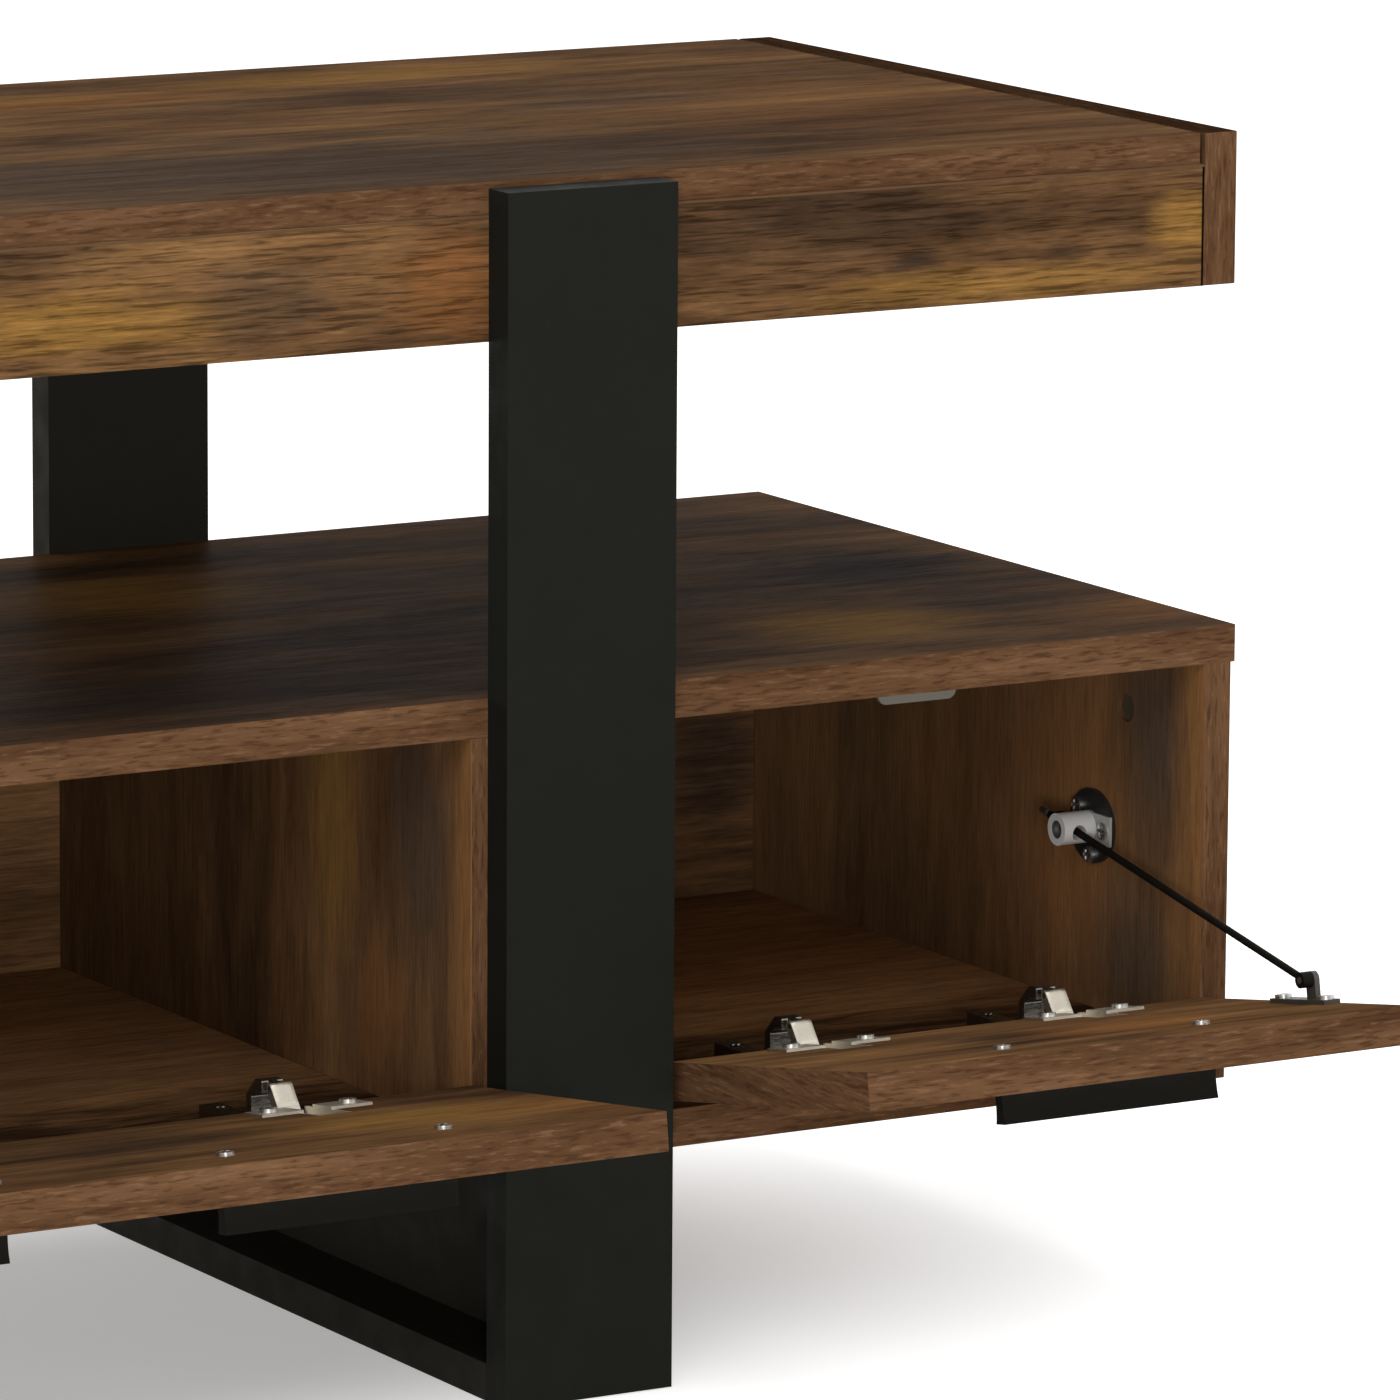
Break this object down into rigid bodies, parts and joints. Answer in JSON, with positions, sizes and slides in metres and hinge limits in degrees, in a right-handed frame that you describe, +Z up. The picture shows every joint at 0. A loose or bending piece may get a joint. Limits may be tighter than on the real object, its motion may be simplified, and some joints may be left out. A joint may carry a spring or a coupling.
{
  "type": "lift top coffee table",
  "caption": "Low rustic wood table with a lifting top over a tray, an open shelf, and a cabinet with drop flaps on stays between black leg hoops.",
  "frame": {"origin": "on the floor, under the middle of the two leg hoops", "axes": "+X along the table towards its right end, +Y towards its back, +Z up"},
  "size_m": [1.2, 0.5748, 0.503],
  "materials": {
    "rustic_wood": "satin rustic brown woodgrain laminate",
    "black_board": "matte black coated board",
    "hinge_steel": "nickel plated",
    "black_metal": "satin black powder coat",
    "grey_plastic": "moulded grey",
    "white_plastic": "moulded white",
    "black_plastic": "moulded black"
  },
  "bodies": {
    "base": {"cabinet_top": "rustic_wood", "cabinet_bottom": "rustic_wood", "cabinet_back": "rustic_wood", "side_panel_left": "rustic_wood", "side_panel_right": "rustic_wood", "dividers_left": "rustic_wood", "dividers_right": "rustic_wood", "front_apron": "rustic_wood", "back_apron": "rustic_wood", "end_board_left": "rustic_wood", "end_board_right": "rustic_wood", "tray_floor": "rustic_wood", "front_leg_left": "black_board", "front_leg_right": "black_board", "rear_leg_left": "black_board", "rear_leg_right": "black_board", "runners": "black_board", "webs": "black_board", "leg_spacers": "black_board", "hinge_arms": "hinge_steel", "hinge_mounts": "hinge_steel", "hinge_pins": "hinge_steel", "fixed_screws": "hinge_steel", "lift_base_pins": "hinge_steel", "stay_bases": "hinge_steel", "lift_base_rails": "black_metal", "flap_stops": "grey_plastic", "cam_locks": "grey_plastic", "stay_plates": "black_plastic"},
    "lift_front": {"lift_front_arms": "black_metal", "lift_cross_bar": "black_metal"},
    "lift_rear": {"lift_rear_arms": "black_metal"},
    "lift_board": {"lift_top": "rustic_wood", "lift_top_rails": "black_metal", "lift_top_pins": "hinge_steel", "lift_top_screws": "hinge_steel"},
    "links_left": {"hinge_links_left": "hinge_steel"},
    "flap_left": {"flap_left": "rustic_wood", "hinge_cups_left": "hinge_steel", "handle_left": "black_metal", "stay_bracket_left": "black_metal", "flap_screws_left": "hinge_steel"},
    "brake_left": {"stay_brake_left": "white_plastic"},
    "rod_left": {"stay_rod_left": "black_metal"},
    "links_middle": {"hinge_links_middle": "hinge_steel"},
    "flap_middle": {"flap_middle": "rustic_wood", "hinge_cups_middle": "hinge_steel", "handle_middle": "black_metal", "stay_bracket_middle": "black_metal", "flap_screws_middle": "hinge_steel"},
    "brake_middle": {"stay_brake_middle": "white_plastic"},
    "rod_middle": {"stay_rod_middle": "black_metal"},
    "links_right": {"hinge_links_right": "hinge_steel"},
    "flap_right": {"flap_right": "rustic_wood", "hinge_cups_right": "hinge_steel", "handle_right": "black_metal", "stay_bracket_right": "black_metal", "flap_screws_right": "hinge_steel"},
    "brake_right": {"stay_brake_right": "white_plastic"},
    "rod_right": {"stay_rod_right": "black_metal"}
  },
  "joints": [
    {"name": "links_left_swing", "type": "hinge", "parent": "base", "child": "links_left", "pos_m": [0, -0.19185, 0.14047], "axis": [1, 0, 0], "range_deg": [0, 34.89]},
    {"name": "flap_left_drop", "type": "hinge", "parent": "links_left", "child": "flap_left", "pos_m": [0, -0.20536, 0.12311], "axis": [1, 0, 0], "range_deg": [-115.29, 0]},
    {"name": "brake_left_swivel", "type": "hinge", "parent": "base", "child": "brake_left", "pos_m": [-0.573, -0.113, 0.193], "axis": [1, 0, 0], "range_deg": [-30.28, 0]},
    {"name": "rod_left_swing", "type": "hinge", "parent": "flap_left", "child": "rod_left", "pos_m": [-0.573, -0.29441, 0.16028], "axis": [1, 0, 0], "range_deg": [0, 50.12]},
    {"name": "links_middle_swing", "type": "hinge", "parent": "base", "child": "links_middle", "pos_m": [0, -0.19185, 0.14047], "axis": [1, 0, 0], "range_deg": [0, 35.76]},
    {"name": "flap_middle_drop", "type": "hinge", "parent": "links_middle", "child": "flap_middle", "pos_m": [0, -0.20562, 0.12331], "axis": [1, 0, 0], "range_deg": [-118.16, 0]},
    {"name": "brake_middle_swivel", "type": "hinge", "parent": "base", "child": "brake_middle", "pos_m": [-0.219, -0.113, 0.193], "axis": [1, 0, 0], "range_deg": [-31.03, 0]},
    {"name": "rod_middle_swing", "type": "hinge", "parent": "flap_middle", "child": "rod_middle", "pos_m": [-0.219, -0.29591, 0.15736], "axis": [1, 0, 0], "range_deg": [0, 51.37]},
    {"name": "links_right_swing", "type": "hinge", "parent": "base", "child": "links_right", "pos_m": [0, -0.19185, 0.14047], "axis": [1, 0, 0], "range_deg": [0, 34.89]},
    {"name": "flap_right_drop", "type": "hinge", "parent": "links_right", "child": "flap_right", "pos_m": [0, -0.20536, 0.12311], "axis": [1, 0, 0], "range_deg": [-115.29, 0]},
    {"name": "brake_right_swivel", "type": "hinge", "parent": "base", "child": "brake_right", "pos_m": [0.573, -0.113, 0.193], "axis": [1, 0, 0], "range_deg": [-30.28, 0]},
    {"name": "rod_right_swing", "type": "hinge", "parent": "flap_right", "child": "rod_right", "pos_m": [0.573, -0.29441, 0.16028], "axis": [1, 0, 0], "range_deg": [0, 50.12]},
    {"name": "lift_swing", "type": "hinge", "parent": "base", "child": "lift_front", "pos_m": [0, -0.1495, 0.4785], "axis": [1, 0, 0], "range_deg": [0, 100]},
    {"name": "lift_rear_swing", "type": "hinge", "parent": "base", "child": "lift_rear", "pos_m": [0, -0.0895, 0.4625], "axis": [1, 0, 0], "range_deg": [0, 100]},
    {"name": "lift_board_level", "type": "hinge", "parent": "lift_front", "child": "lift_board", "pos_m": [0, 0.0505, 0.4785], "axis": [1, 0, 0], "range_deg": [-100, 0]}
  ],
  "couplings": [
    {"joint": "links_left_swing", "follows": "flap_left_drop", "ratio": -0.30265},
    {"joint": "brake_left_swivel", "follows": "flap_left_drop", "ratio": 0.26262},
    {"joint": "rod_left_swing", "follows": "flap_left_drop", "ratio": -0.43473},
    {"joint": "links_middle_swing", "follows": "flap_middle_drop", "ratio": -0.30265},
    {"joint": "brake_middle_swivel", "follows": "flap_middle_drop", "ratio": 0.26262},
    {"joint": "rod_middle_swing", "follows": "flap_middle_drop", "ratio": -0.43473},
    {"joint": "links_right_swing", "follows": "flap_right_drop", "ratio": -0.30265},
    {"joint": "brake_right_swivel", "follows": "flap_right_drop", "ratio": 0.26262},
    {"joint": "rod_right_swing", "follows": "flap_right_drop", "ratio": -0.43473},
    {"joint": "lift_rear_swing", "follows": "lift_swing", "ratio": 1},
    {"joint": "lift_board_level", "follows": "lift_swing", "ratio": -1}
  ]
}
